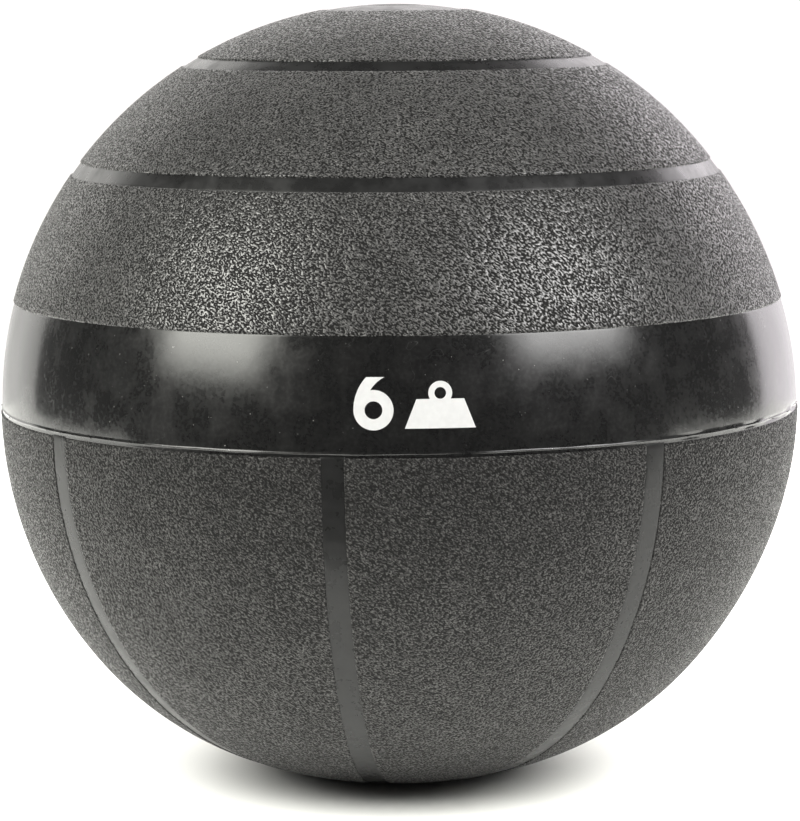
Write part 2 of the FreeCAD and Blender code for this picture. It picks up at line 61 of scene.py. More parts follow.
MM = 0.001
RECESS = 0.4 * MM  # the smooth strips lie this far below the panels
BALL_RADIUS = (CAD_BOX[1][0] - CAD_BOX[0][0]) / 2
CENTRE_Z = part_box("filler_plug")[1].z - (BALL_RADIUS - RECESS)
CENTRE = Vector((0, 0, CENTRE_Z))
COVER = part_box("base_disc")[1].z  # thickness of the cover's panels
BASE_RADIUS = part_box("base_disc")[1].x
SHOULDER_RADIUS = 98.9 * MM  # tighter curve of the sagging lower half
SAG_LATITUDE = math.radians(-40)
STRIP_WIDTH = 5.8 * MM
STRIP_COUNT = 8
STRIP_TURN = math.radians(-8.46)  # first strip, to the right of the front
GRAIN_STEP = 0.4 * MM  # spacing of the vertices that carry the textured panels' grain
GRAIN_DEPTH = 0.15 * MM
RING_STEP = 1.2 * MM  # spacing of the vertices round a smooth ring
FACE_STEP = 0.5 * MM  # and across it
STRIP_STEP = 0.7 * MM
BULGE = 1.4 * MM  # the right side sags outwards by this much
BULGE_LATITUDE = math.radians(-5)
BULGE_SPREAD = math.radians(24)
BULGE_POWER = 4  # how soon the bulge fades towards the front and back


# ---------------------------------------------------------------- the ball's side, from crown to flat

SPHERE_POINTS = 1200
SHOULDER_POINTS = 900
FLAT_POINTS = 60


def arc_points(middle, radius, turn):
    """Radius, height and outward normal at points of an arc about a middle."""
    return np.stack(
        [
            middle[0] + radius * np.cos(turn),
            middle[1] + radius * np.sin(turn),
            np.cos(turn),
            np.sin(turn),
        ],
        1,
    )


def outline():
    """Points down the ball's side: length so far; radius, height above the centre and outward normal."""
    sphere = arc_points((0, 0), BALL_RADIUS, np.linspace(math.pi / 2, SAG_LATITUDE, SPHERE_POINTS))
    shift = BALL_RADIUS - SHOULDER_RADIUS
    middle = shift * math.cos(SAG_LATITUDE), shift * math.sin(SAG_LATITUDE)
    foot = math.asin((-CENTRE_Z - middle[1]) / SHOULDER_RADIUS)
    shoulder = arc_points(middle, SHOULDER_RADIUS, np.linspace(SAG_LATITUDE, foot, SHOULDER_POINTS)[1:])
    flat = np.zeros((FLAT_POINTS, 4))
    flat[:, 0] = np.linspace(shoulder[-1, 0], 0, FLAT_POINTS + 1)[1:]
    flat[:, 1] = -CENTRE_Z
    flat[:, 3] = -1
    points = np.concatenate([sphere, shoulder, flat])
    steps = np.linalg.norm(np.diff(points[:, :2], axis=0), axis=1)
    return np.concatenate([[0], np.cumsum(steps)]), points


LENGTHS, OUTLINE = outline()
BELOW_SPHERE = slice(SPHERE_POINTS, None)
FLAT_LENGTH = float(np.interp(-BASE_RADIUS, -OUTLINE[BELOW_SPHERE, 0], LENGTHS[BELOW_SPHERE]))


def length_at(latitude):
    return BALL_RADIUS * (math.pi / 2 - latitude)


def side(length, depth=0.0):
    """Radius, height and outward normal at a length down the side and a depth below the panels' face."""
    r, z, nr, nz = (np.interp(length, LENGTHS, OUTLINE[:, k]) for k in range(4))
    size = np.hypot(nr, nz)
    nr, nz = nr / size, nz / size
    return r - depth * nr, z - depth * nz, nr, nz


def edges_of(node, face_depth):
    """Latitudes of the lower and upper edge of a ring that lies between a face and the cover's back."""
    low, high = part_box(node)
    back = BALL_RADIUS - COVER
    face = BALL_RADIUS - face_depth
    low_radius = back if low.z > CENTRE_Z else face
    return math.asin((low.z - CENTRE_Z) / low_radius), math.asin((high.z - CENTRE_Z) / face)


# ---------------------------------------------------------------- meshes from rows of points


def bulged(points):
    """Moves points near the girth's right side outwards, as the real ball has sagged a little there."""
    points = np.array(points, float)
    from_centre = points - np.array(CENTRE)
    reach = np.linalg.norm(from_centre, axis=1)
    latitude = np.arcsin(from_centre[:, 2] / reach)
    rightward = np.clip(from_centre[:, 0] / reach, 0, 1) ** BULGE_POWER
    points[:, 0] += BULGE * rightward * np.exp(-(((latitude - BULGE_LATITUDE) / BULGE_SPREAD) ** 2))
    return points


def new_piece(name, points, triangles, normals=None, cover=None):
    """A smooth mesh with its faces outwards. normals and cover are kept as attributes for the grain."""
    points = bulged(points)
    a, b, c = (points[triangles[:, k]] for k in range(3))
    if np.einsum("ij,ij->i", a, np.cross(b, c)).sum() < 0:
        triangles = triangles[:, ::-1]
    mesh = bpy.data.meshes.new(name)
    mesh.vertices.add(len(points))
    mesh.vertices.foreach_set("co", points.astype(np.float32).ravel())
    mesh.loops.add(3 * len(triangles))
    mesh.loops.foreach_set("vertex_index", np.ascontiguousarray(triangles, np.int32).ravel())
    mesh.polygons.add(len(triangles))
    mesh.polygons.foreach_set("loop_start", np.arange(0, 3 * len(triangles), 3, dtype=np.int32))
    mesh.update(calc_edges=True)
    mesh.shade_smooth()
    if normals is not None:
        outward = mesh.attributes.new("outward", "FLOAT_VECTOR", "POINT")
        outward.data.foreach_set("vector", np.asarray(normals, np.float32).ravel())
        share = mesh.attributes.new("cover", "FLOAT", "POINT")
        share.data.foreach_set("value", np.asarray(cover, np.float32))
    piece = bpy.data.objects.new(name, mesh)
    bpy.context.scene.collection.objects.link(piece)
    return piece


def stitch(first, second, first_at, second_at):
    """Triangles between two rows of vertex numbers, with each vertex's place along its row."""
    places = np.concatenate([first_at[1:], second_at[1:]])
    on_first = np.concatenate([np.ones(len(first_at) - 1, bool), np.zeros(len(second_at) - 1, bool)])
    order = np.argsort(places, kind="stable")
    on_first = on_first[order]
    a = np.cumsum(on_first) - on_first
    b = np.cumsum(~on_first) - ~on_first
    next_first = first[np.minimum(a + 1, len(first) - 1)]
    next_second = second[np.minimum(b + 1, len(second) - 1)]
    return np.stack([first[a], second[b], np.where(on_first, next_first, next_second)], 1)


def skin(rows, places, closed_rows, closed_column, capped=False):
    """One surface through rows of points.

    Rows may close on themselves, the last row may meet the first, and both ends may be capped by a hub.
    """
    starts = np.concatenate([[0], np.cumsum([len(row) for row in rows])])
    numbers = [np.arange(starts[i], starts[i + 1]) for i in range(len(rows))]
    if closed_rows:
        numbers = [np.append(n, n[0]) for n in numbers]
        places = [np.append(p, 1.0) for p in places]
    pairs = list(zip(range(len(rows) - 1), range(1, len(rows))))
    if closed_column:
        pairs.append((len(rows) - 1, 0))
    triangles = [stitch(numbers[i], numbers[j], places[i], places[j]) for i, j in pairs]
    points = np.concatenate(rows)
    if capped:
        for row, flip in ((numbers[0], False), (numbers[-1], True)):
            hub = len(points)
            points = np.concatenate([points, points[row[:-1]].mean(0)[None]])
            fan = np.stack([row[:-1], row[1:], np.full(len(row) - 1, hub)], 1)
            triangles.append(fan[:, ::-1] if flip else fan)
    return points, np.concatenate(triangles)


FEWEST_ROUND = 48  # points round the smallest ring
HIDDEN_STEPS = 4  # a ring's back is this much coarser than its face


def ring_points(r, z, count):
    angle = np.arange(count) * 2 * math.pi / count
    return np.stack([r * np.cos(angle), r * np.sin(angle), np.full(count, z)], 1)


def ring_piece(name, section, step):
    """A ring turned from a closed section: rows of length down the side, depth and share of relief."""
    rows, places, normals, covers = [], [], [], []
    for length, depth, cover in section:
        r, z, nr, nz = side(length, depth)
        count = max(FEWEST_ROUND, int(2 * math.pi * r / (step if cover > 0 else HIDDEN_STEPS * step)))
        rows.append(ring_points(r, z + CENTRE_Z, count))
        places.append(np.arange(count) / count)
        normals.append(ring_points(nr, nz, count))
        covers.append(np.full(count, cover))
    points, triangles = skin(rows, places, True, True)
    return new_piece(name, points, triangles, np.concatenate(normals), np.concatenate(covers))


def turned_piece(name, profile, count):
    """A solid turned from rows of radius and height, closed at both ends by a hub on the axis."""
    rows = [ring_points(r, z, count) for r, z in profile]
    places = [np.arange(count) / count for _ in profile]
    points, triangles = skin(rows, places, True, False, capped=True)
    return new_piece(name, points, triangles)


FEWEST_ACROSS = 4  # rows across the narrowest face
FEWEST_BEHIND = 3
FACE_TO_BACK = 12  # the back has this many times fewer rows than the face


def ring_section(top, bottom, face_depth, step, tuck):
    """The closed section of a ring between two lengths, with edges that round over and drop by tuck."""
    count = max(FEWEST_ACROSS, int((bottom - top) / step))
    face = [(length, face_depth, 1.0) for length in np.linspace(top, bottom, count)]
    rim_top = [(top - shift, face_depth + drop, share) for shift, drop, share in tuck[::-1]]
    rim_bottom = [(bottom + shift, face_depth + drop, share) for shift, drop, share in tuck]
    behind = max(FEWEST_BEHIND, count // FACE_TO_BACK)
    back = [(length, COVER, 0.0) for length in np.linspace(bottom, top, behind)]
    return rim_top + face + rim_bottom + back


# Edges: rows of how far out, how far down, and the share of the grain that is left there.
# A textured panel's face leans over and dives below the smooth strip beside it.
PANEL_EDGE = (
    (0.05 * MM, 0.1 * MM, 1.0),
    (0.25 * MM, 0.32 * MM, 0.9),
    (0.4 * MM, 0.6 * MM, 0.6),
    (0.45 * MM, 1.1 * MM, 0.0),
)
# A smooth strip runs on under the panels, and the band ends in a small step.
STRIP_EDGE = ((0.4 * MM, 0.05 * MM, 0.5), (0.5 * MM, 0.5 * MM, 0.0))
BAND_EDGE = ((0.1 * MM, 0.02 * MM, 0.5), (0.15 * MM, 0.5 * MM, 0.0))
PANEL_INSET = 0.3 * MM
STRIP_RECESS = 0.25 * MM  # the long strips lie less deep than the rings


# ---------------------------------------------------------------- node trees, for shading and for relief


class Nodes:
    """Short words for building a node tree, the same for a material as for geometry."""

    def __init__(self, tree):
        self.tree = tree

    def add(self, kind, inputs=None, output=0, **settings):
        node = self.tree.nodes.new(kind)
        for key, value in settings.items():
            setattr(node, key, value)
        for key, value in (inputs or {}).items():
            self.put(node.inputs[key], value)
        return node.outputs[output]

    def put(self, socket, value):
        if isinstance(value, bpy.types.NodeSocket):
            self.tree.links.new(value, socket)
        else:
            socket.default_value = value

    def maths(self, operation, *values):
        node = self.tree.nodes.new("ShaderNodeMath")
        node.operation = operation
        for socket, value in zip(node.inputs, values):
            self.put(socket, value)
        return node.outputs[0]

    def noise(self, position, size, detail=2.0, roughness=0.5, stretch=None, distortion=0.0):
        """Noise of a size in metres, between 0 and 1."""
        if stretch:
            position = self.add("ShaderNodeVectorMath", {0: position, 1: stretch}, operation="MULTIPLY")
        return self.add(
            "ShaderNodeTexNoise",
            {
                "Vector": position,
                "Scale": 1 / size,
                "Detail": detail,
                "Roughness": roughness,
                "Distortion": distortion,
            },
        )

    def ramp(self, value, low, high, start=0.0, stop=1.0, smooth=True):
        """Goes from start to stop as the value goes from low to high, and stays there beyond."""
        return self.add(
            "ShaderNodeMapRange",
            {"Value": value, "From Min": low, "From Max": high, "To Min": start, "To Max": stop},
            interpolation_type="SMOOTHSTEP" if smooth else "LINEAR",
        )

    def mix(self, factor, first, second):
        """A colour between two others."""
        node = self.tree.nodes.new("ShaderNodeMix")
        node.data_type = "RGBA"
        self.put(node.inputs[0], factor)
        self.put(node.inputs[6], first)
        self.put(node.inputs[7], second)
        return node.outputs[2]


GRAIN_SIZE = 0.42 * MM  # across a row of grain
GRAIN_SLANT = math.radians(-35)  # the rows run down to the right at the front
GRAIN_STRETCH = (0.55, 1, 1)  # and the grain is longer along them
GRAIN_PIT = 0.38  # noise at the pits' floor
GRAIN_TOP = 0.62  # and where the flat tops begin


def grain(nodes, position):
    """Height of the moulded grain at a place on a panel, from 0 in the pits to 1 on the tops."""
    turned = nodes.add(
        "ShaderNodeVectorRotate",
        {"Vector": position, "Axis": (0, 1, 0), "Angle": GRAIN_SLANT},
        rotation_type="AXIS_ANGLE",
    )
    noise = nodes.noise(turned, GRAIN_SIZE, detail=0.0, stretch=GRAIN_STRETCH)
    return nodes.ramp(noise, GRAIN_PIT, GRAIN_TOP)


def relief_tree():
    """Geometry nodes that sink a panel's pits, and keep each vertex's place before that as rest."""
    tree = bpy.data.node_groups.new("grain_relief", "GeometryNodeTree")
    tree.interface.new_socket("Geometry", in_out="INPUT", socket_type="NodeSocketGeometry")
    tree.interface.new_socket("Geometry", in_out="OUTPUT", socket_type="NodeSocketGeometry")
    nodes = Nodes(tree)
    shape = nodes.add("NodeGroupInput")
    position = nodes.add("GeometryNodeInputPosition")
    stored = nodes.add(
        "GeometryNodeStoreNamedAttribute",
        {"Geometry": shape, "Name": "rest", "Value": position},
        data_type="FLOAT_VECTOR",
        domain="POINT",
    )
    rest = nodes.add("GeometryNodeInputNamedAttribute", {"Name": "rest"}, data_type="FLOAT_VECTOR")
    outward = nodes.add("GeometryNodeInputNamedAttribute", {"Name": "outward"}, data_type="FLOAT_VECTOR")
    cover = nodes.add("GeometryNodeInputNamedAttribute", {"Name": "cover"}, data_type="FLOAT")
    height = nodes.maths("SUBTRACT", grain(nodes, rest), 1.0)
    depth = nodes.maths("MULTIPLY", nodes.maths("MULTIPLY", height, cover), GRAIN_DEPTH)
    offset = nodes.add("ShaderNodeVectorMath", {0: outward, "Scale": depth}, operation="SCALE")
    moved = nodes.add("GeometryNodeSetPosition", {"Geometry": stored, "Offset": offset})
    out = tree.nodes.new("NodeGroupOutput")
    tree.links.new(moved, out.inputs[0])
    return tree


RELIEF = relief_tree()


def press_grain(piece):
    """Presses the grain into a panel's mesh."""
    piece.modifiers.new("grain", "NODES").node_group = RELIEF
    depsgraph = bpy.context.evaluated_depsgraph_get()
    pressed = bpy.data.meshes.new_from_object(piece.evaluated_get(depsgraph))
    plain = piece.data
    name = plain.name
    piece.modifiers.clear()
    piece.data = pressed
    bpy.data.meshes.remove(plain)
    pressed.name = name
    return piece


# ---------------------------------------------------------------- materials


def new_material(name):
    """A material, its nodes and its Principled surface."""
    material = bpy.data.materials.new(name)
    material.use_nodes = True
    tree = material.node_tree
    tree.nodes.clear()
    nodes = Nodes(tree)
    surface = tree.nodes.new("ShaderNodeBsdfPrincipled")
    out = tree.nodes.new("ShaderNodeOutputMaterial")
    tree.links.new(surface.outputs[0], out.inputs[0])
    return material, nodes, surface


WARM = 0.02


def grey(value, warm=0.0):
    """A grey, or a slightly warm one."""
    return (value * (1 + warm), value, value * (1 - warm), 1.0)


GLINT_FREE = 0.75  # a top's brightness away from the painted glints
PIT_ROUGHNESS = 0.6
SHEEN = 0.2


def textured_rubber(name, pit, top, glint_gain, pit_gloss, top_gloss, roughness, bump_depth):
    """Moulded grain: dark matt pits between tops that are glossier.

    pit and top are their greys, and glint_gain is how many times brighter a top is under the painted
    glints.
    """
    material, nodes, surface = new_material(name)
    rest = nodes.add("ShaderNodeAttribute", attribute_name="rest", output=1)
    height = grain(nodes, rest)
    fine = nodes.noise(rest, 0.3 * MM, detail=1.0)
    # Painted glints: the tops are brightened in specks of fine noise and in broad patches, standing in
    # for highlights.
    patches = nodes.ramp(nodes.noise(rest, 14 * MM, detail=3.0), 0.3, 0.7)
    painted_glints = nodes.ramp(nodes.noise(rest, 0.45 * MM, detail=0.0), 0.48, 0.66, 0.0, 0.85)
    painted_glints = nodes.maths("ADD", painted_glints, nodes.maths("MULTIPLY", patches, 0.15))
    tops = nodes.mix(painted_glints, grey(GLINT_FREE * top, WARM), grey(glint_gain * top, WARM))
    # From pit to top the grey and specular level rise: partly wear on the tops, partly painted shade in
    # the pits and painted light on the tops.
    nodes.put(surface.inputs["Base Color"], nodes.mix(height, grey(pit, WARM), tops))
    nodes.put(surface.inputs["Roughness"], nodes.ramp(height, 0.0, 1.0, PIT_ROUGHNESS, roughness))
    nodes.put(surface.inputs["Specular IOR Level"], nodes.ramp(height, 0.1, 0.9, pit_gloss, top_gloss))
    nodes.put(surface.inputs["Sheen Weight"], SHEEN * top_gloss)
    nodes.put(surface.inputs["Sheen Roughness"], 0.4)
    bumps = nodes.maths("ADD", nodes.maths("MULTIPLY", height, 0.8), nodes.maths("MULTIPLY", fine, 0.2))
    bump = nodes.add("ShaderNodeBump", {"Strength": 1.0, "Distance": bump_depth, "Height": bumps})
    nodes.put(surface.inputs["Normal"], bump)
    return material


def gloss_rubber():
    """The band: glossy, with smudges, wiped streaks, fine curved scratches and a little dust."""
    material, nodes, surface = new_material("gloss_rubber")
    place = nodes.add("ShaderNodeTexCoord", output=3)
    cloud = nodes.noise(place, 11 * MM, detail=4.0, roughness=0.55, distortion=0.4)
    smudge = nodes.ramp(cloud, 0.4, 0.75, 0.0, 0.7)
    wiped = nodes.noise(place, 2.5 * MM, detail=4.0, stretch=(1, 1, 0.15))
    streak = nodes.ramp(wiped, 0.5, 0.8, 0.0, 0.3)
    mottle = nodes.ramp(nodes.noise(place, 1.1 * MM, detail=3.0), 0.4, 0.7, 0.0, 0.4)
    film = nodes.maths("ADD", nodes.maths("ADD", smudge, streak), mottle)
    curl = nodes.noise(place, 16 * MM, detail=1.0, distortion=3.0)
    from_line = nodes.maths("ABSOLUTE", nodes.maths("SUBTRACT", curl, 0.5))
    worn = nodes.ramp(nodes.noise(place, 20 * MM, detail=2.0), 0.52, 0.6)
    scratch = nodes.maths("MULTIPLY", nodes.ramp(from_line, 0.0, 0.004, 1.0, 0.0), worn)
    specks = nodes.ramp(nodes.noise(place, 0.7 * MM, detail=1.0), 0.78, 0.82)
    colour = nodes.mix(nodes.maths("MULTIPLY", film, 0.25), grey(0.006), grey(0.026, WARM))
    colour = nodes.mix(nodes.maths("MULTIPLY", scratch, 0.25), colour, grey(0.12))
    nodes.put(surface.inputs["Base Color"], nodes.mix(specks, colour, grey(0.3, WARM)))
    rough = nodes.ramp(film, 0.0, 1.4, 0.12, 0.26, smooth=False)
    rough = nodes.maths("ADD", rough, nodes.maths("MULTIPLY", scratch, 0.1))
    nodes.put(surface.inputs["Roughness"], rough)
    nodes.put(surface.inputs["Coat Weight"], nodes.ramp(film, 0.0, 1.2, 0.14, 0.5, smooth=False))
    nodes.put(surface.inputs["Coat Roughness"], 0.4)
    ripple = nodes.noise(place, 9 * MM, detail=2.0)
    ripple = nodes.maths("ADD", ripple, nodes.maths("MULTIPLY", mottle, 0.06))
    bump = nodes.add("ShaderNodeBump", {"Strength": 0.5, "Distance": 0.1 * MM, "Height": ripple})
    nodes.put(surface.inputs["Normal"], bump)
    return material


def smooth_rubber(name, low, high, gloss):
    """The strips and discs: satin, with soft streaks."""
    material, nodes, surface = new_material(name)
    place = nodes.add("ShaderNodeTexCoord", output=3)
    smudge = nodes.noise(place, 8 * MM, detail=4.0, roughness=0.6)
    streak = nodes.noise(place, 2.5 * MM, detail=3.0, stretch=(1, 1, 0.2))
    film = nodes.maths("ADD", nodes.ramp(smudge, 0.4, 0.7), nodes.ramp(streak, 0.5, 0.8, 0.0, 0.5))
    nodes.put(surface.inputs["Base Color"], nodes.mix(film, grey(low), grey(high)))
    nodes.put(surface.inputs["Specular IOR Level"], gloss)
    nodes.put(surface.inputs["Roughness"], nodes.ramp(film, 0.0, 1.4, 0.26, 0.42, smooth=False))
    ripple = nodes.noise(place, 4 * MM, detail=2.0)
    bump = nodes.add("ShaderNodeBump", {"Strength": 0.4, "Distance": 0.1 * MM, "Height": ripple})
    nodes.put(surface.inputs["Normal"], bump)
    return material


def white_ink():
    """The printed mark: faintly uneven white."""
    material, nodes, surface = new_material("white_ink")
    place = nodes.add("ShaderNodeTexCoord", output=3)
    fade = nodes.noise(place, 1.5 * MM, detail=4.0)
    white = nodes.mix(nodes.ramp(fade, 0.3, 0.7), grey(0.69), grey(0.73))
    nodes.put(surface.inputs["Base Color"], white)
    nodes.put(surface.inputs["Roughness"], nodes.ramp(fade, 0.2, 0.8, 0.4, 0.55))
    bump = nodes.add("ShaderNodeBump", {"Strength": 0.3, "Distance": 0.02 * MM, "Height": fade})
    nodes.put(surface.inputs["Normal"], bump)
    return material


ROUGHNESS_SPREAD = 0.08


def inner_material(name, low, high, size, roughness, depth):
    """A plain moulded or loose material: two tones, with grain of one size."""
    material, nodes, surface = new_material(name)
    place = nodes.add("ShaderNodeTexCoord", output=3)
    speckle = nodes.noise(place, size, detail=3.0)
    nodes.put(surface.inputs["Base Color"], nodes.mix(nodes.ramp(speckle, 0.3, 0.7), low, high))
    low_rough, high_rough = roughness - ROUGHNESS_SPREAD, roughness + ROUGHNESS_SPREAD
    nodes.put(surface.inputs["Roughness"], nodes.ramp(speckle, 0.2, 0.8, low_rough, high_rough))
    bump = nodes.add("ShaderNodeBump", {"Strength": 0.5, "Distance": depth, "Height": speckle})
    nodes.put(surface.inputs["Normal"], bump)
    return material


SAND_DARK = (0.3, 0.2, 0.11, 1)
SAND_PALE = (0.6, 0.45, 0.28, 1)

MATERIALS = {
    "textured_rubber": textured_rubber(
        "textured_rubber",
        pit=0.014,
        top=0.036,
        glint_gain=4.2,
        pit_gloss=0.1,
        top_gloss=1.0,
        roughness=0.28,
        bump_depth=0.2 * MM,
    ),
    # The lower panels' copy: darker tops, fainter painted glints, paler pits and less gloss than the
    # upper panels'.
    "lower_panel_rubber": textured_rubber(
        "lower_panel_rubber",
        pit=0.016,
        top=0.026,
        glint_gain=3.4,
        pit_gloss=0.06,
        top_gloss=0.24,
        roughness=0.38,
        bump_depth=0.12 * MM,
    ),
    "gloss_rubber": gloss_rubber(),
    "smooth_rubber": smooth_rubber("smooth_rubber", low=0.012, high=0.019, gloss=0.5),
    "dusty_strip": smooth_rubber("dusty_strip", low=0.014, high=0.02, gloss=0.25),
    "white_ink": white_ink(),
    "carcass_rubber": inner_material(
        "carcass_rubber", grey(0.015), grey(0.03), size=2 * MM, roughness=0.7, depth=0.1 * MM
    ),
    "bladder_rubber": inner_material(
        "bladder_rubber", grey(0.03, 0.1), grey(0.06, 0.1), size=3 * MM, roughness=0.5, depth=0.1 * MM
    ),
    "sand": inner_material("sand", SAND_DARK, SAND_PALE, size=0.6 * MM, roughness=0.85, depth=0.3 * MM),
    "plug_plastic": inner_material(
        "plug_plastic", grey(0.012), grey(0.022), size=1.5 * MM, roughness=0.4, depth=0.03 * MM
    ),
}


def dress(piece, slot, body, *nodes, material=None):
    """Gives a piece its slot's material or the named one and the body it moves with; hides the CAD nodes
    it stands for.
    """
    piece.data.materials.clear()
    piece.data.materials.append(MATERIALS[material or slot])
    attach(piece, body)
    if nodes:
        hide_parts(*nodes)


# ---------------------------------------------------------------- the upper half and the girth


def textured_ring(name, low, high):
    """A textured zone of the upper half, between two latitudes."""
    top, bottom = length_at(high) + PANEL_INSET, length_at(low) - PANEL_INSET
    section = ring_section(top, bottom, 0.0, GRAIN_STEP, PANEL_EDGE)
    dress(press_grain(ring_piece(name, section, GRAIN_STEP)), "textured_rubber", "ball", name)


def smooth_ring(name, low, high):
    """A smooth strip right round the ball, between two latitudes."""
    section = ring_section(length_at(high), length_at(low), RECESS, FACE_STEP, STRIP_EDGE)
    dress(ring_piece(name, section, RING_STEP), "smooth_rubber", "ball", name)


BAND_LOW, BAND_HIGH = edges_of("girth_band", RECESS)
LOWER_RING = edges_of("lower_ring_strip", RECESS)
UPPER_RING = edges_of("upper_ring_strip", RECESS)
CROWN_LOW = edges_of("crown_disc", RECESS)[0]

textured_ring("shoulder_panel", BAND_HIGH, LOWER_RING[0])
textured_ring("middle_panel", LOWER_RING[1], UPPER_RING[0])
textured_ring("crown_panel", UPPER_RING[1], CROWN_LOW)
smooth_ring("lower_ring_strip", *LOWER_RING)
smooth_ring("upper_ring_strip", *UPPER_RING)

# The bead at the parting line: millimetres across it, and its height there.
BEAD = ((-0.45, 0.0), (-0.25, 0.04), (-0.12, 0.12), (0.0, 0.17), (0.12, 0.12), (0.25, 0.04), (0.45, 0.0))
BEAD_ROOM = 0.5 * MM
BEAD_STEP = 0.5 * MM  # spacing of the vertices round it
# Its crest varies round the ball in height, as a share of BEAD's, and sways up and down.
CREST_WAVES = (7, 19, 31, 53)
CREST_SEED = 3
CREST_SHARE = 0.95
CREST_SWING = 0.5
CREST_LOWEST = 0.1
CREST_HIGHEST = 1.6
SWAY_WAVES = (7, 23, 41)
SWAY_SEED = 5
SWAY = 0.08 * MM


def girth_band():
    """The band, with a fine bead at the parting line round the girth."""
    top, bottom = length_at(BAND_HIGH), length_at(BAND_LOW)
    line_at = length_at(0.0)
    section = ring_section(top, bottom, RECESS, FACE_STEP, BAND_EDGE)
    face = [row for row in section if row[2] < 1 or abs(row[0] - line_at) > BEAD_ROOM]
    bead = [(line_at + across * MM, RECESS - height * MM, 1.0) for across, height in BEAD]
    start = next(i for i, row in enumerate(face) if row[0] > line_at)
    band = ring_piece("girth_band", face[:start] + bead + face[start:], BEAD_STEP)
    dress(ragged(band), "gloss_rubber", "ball", "girth_band")


def wander(angle, waves, seed):
    """A smooth random curve round the ball, about 0, made of whole waves."""
    source = np.random.default_rng(seed)
    phases = source.uniform(0, 2 * math.pi, len(waves))
    return sum(np.sin(wave * angle + phase) for wave, phase in zip(waves, phases)) / len(waves)


def ragged(band):
    """Makes the bead's crest uneven, as the mould's flash is once it is torn off."""
    points = np.empty(3 * len(band.data.vertices), np.float32)
    band.data.vertices.foreach_get("co", points)
    points = points.reshape(-1, 3)
    radius = np.hypot(points[:, 0], points[:, 1])
    angle = np.arctan2(points[:, 1], points[:, 0])
    high = np.clip(radius - (BALL_RADIUS - RECESS), 0, None)
    near = (np.abs(points[:, 2] - CENTRE_Z) < BEAD_ROOM) & (high > 0)
    share = CREST_SHARE + CREST_SWING * wander(angle, CREST_WAVES, CREST_SEED)
    lift = np.where(near, high * (np.clip(share, CREST_LOWEST, CREST_HIGHEST) - 1), 0.0)
    points[:, :2] *= (1 + lift / np.maximum(radius, MM))[:, None]
    points[:, 2] += np.where(near, SWAY * wander(angle, SWAY_WAVES, SWAY_SEED), 0.0)
    band.data.vertices.foreach_set("co", points.ravel())
    band.data.update()
    return band


girth_band()

HAIR_COUNT = 34
HAIR_SEED = 11
HAIR_SIDES = 5
HAIR_POINTS = 12
# In millimetres: the least and most of a hair's length, sideways bend, rise along it and thickness.
HAIR_LENGTH = (0.8, 4.0)
HAIR_BEND = (-0.6, 0.6)
HAIR_RISE = (-0.35, 0.35)
HAIR_THICK = (0.08, 0.13)
HAIR_FOOT = 0.12 * MM  # how far above the band it starts
HAIR_ARCH = 0.3 * MM  # and how far it then stands off
HAIR_TAPER = 0.8


def hair(source, angle):
    """A thin curl of flash at the parting line: rows of points round a bent path."""
    length = source.uniform(*HAIR_LENGTH) * MM
    bend = source.uniform(*HAIR_BEND)
    rise = source.uniform(*HAIR_RISE) * MM
    thick = source.uniform(*HAIR_THICK) * MM
    rows = []
    for share in np.linspace(0, 1, HAIR_POINTS):
        theta = angle + share * length / BALL_RADIUS
        z = CENTRE_Z + rise * share + bend * MM * share * (1 - share)
        r = BALL_RADIUS - RECESS + HAIR_FOOT + HAIR_ARCH * math.sin(math.pi * share)
        size = thick * (1 - HAIR_TAPER * share)
        turn = np.arange(HAIR_SIDES) * 2 * math.pi / HAIR_SIDES
        out = r + size * np.cos(turn)
        rows.append(np.stack([out * math.cos(theta), out * math.sin(theta), z + size * np.sin(turn)], 1))
    return rows


def parting_flash():
    """Hairs of torn flash that still stand at the parting line."""
    source = np.random.default_rng(HAIR_SEED)
    points, triangles, first = [], [], 0
    for angle in np.sort(source.uniform(0, 2 * math.pi, HAIR_COUNT)):
        rows = hair(source, angle)
        places = [np.arange(HAIR_SIDES) / HAIR_SIDES for _ in rows]
        hair_points, hair_triangles = skin(rows, places, True, False, capped=True)
        points.append(hair_points)
        triangles.append(hair_triangles + first)
        first += len(hair_points)
    piece = new_piece("parting_flash", np.concatenate(points), np.concatenate(triangles))
    dress(piece, "gloss_rubber", "ball")


parting_flash()

PLUG_ROOM = 0.3 * MM  # between the plug's head and the disc round it
LIP = 0.4 * MM  # the disc's face starts this far from the hole
LIP_DROP = 0.12 * MM  # half way over the rounding of the hole's edge
LIP_WALL = 0.5 * MM  # where the hole's wall begins
DISC_BACK_ROWS = 8


def crown_disc():
    """The smooth disc at the crown, with the hole for the plug's head."""
    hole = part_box("filler_plug")[1].x + PLUG_ROOM
    inner = BALL_RADIUS * math.asin(hole / BALL_RADIUS)
    bottom = length_at(CROWN_LOW)
    face = [(length, RECESS, 1.0) for length in np.arange(inner + LIP, bottom, FACE_STEP)]
    lip = [
        (inner, COVER, 0.0),
        (inner, RECESS + LIP_WALL, 0.5),
        (inner + LIP_DROP, RECESS + LIP_DROP, 0.5),
    ]
    rim = [(bottom + shift, RECESS + drop, share) for shift, drop, share in STRIP_EDGE]
    back = [(length, COVER, 0.0) for length in np.linspace(bottom, inner + 1 * MM, DISC_BACK_ROWS)]
    disc = ring_piece("crown_disc", lip + face + rim + back, RING_STEP)
    dress(disc, "smooth_rubber", "ball", "crown_disc")


crown_disc()

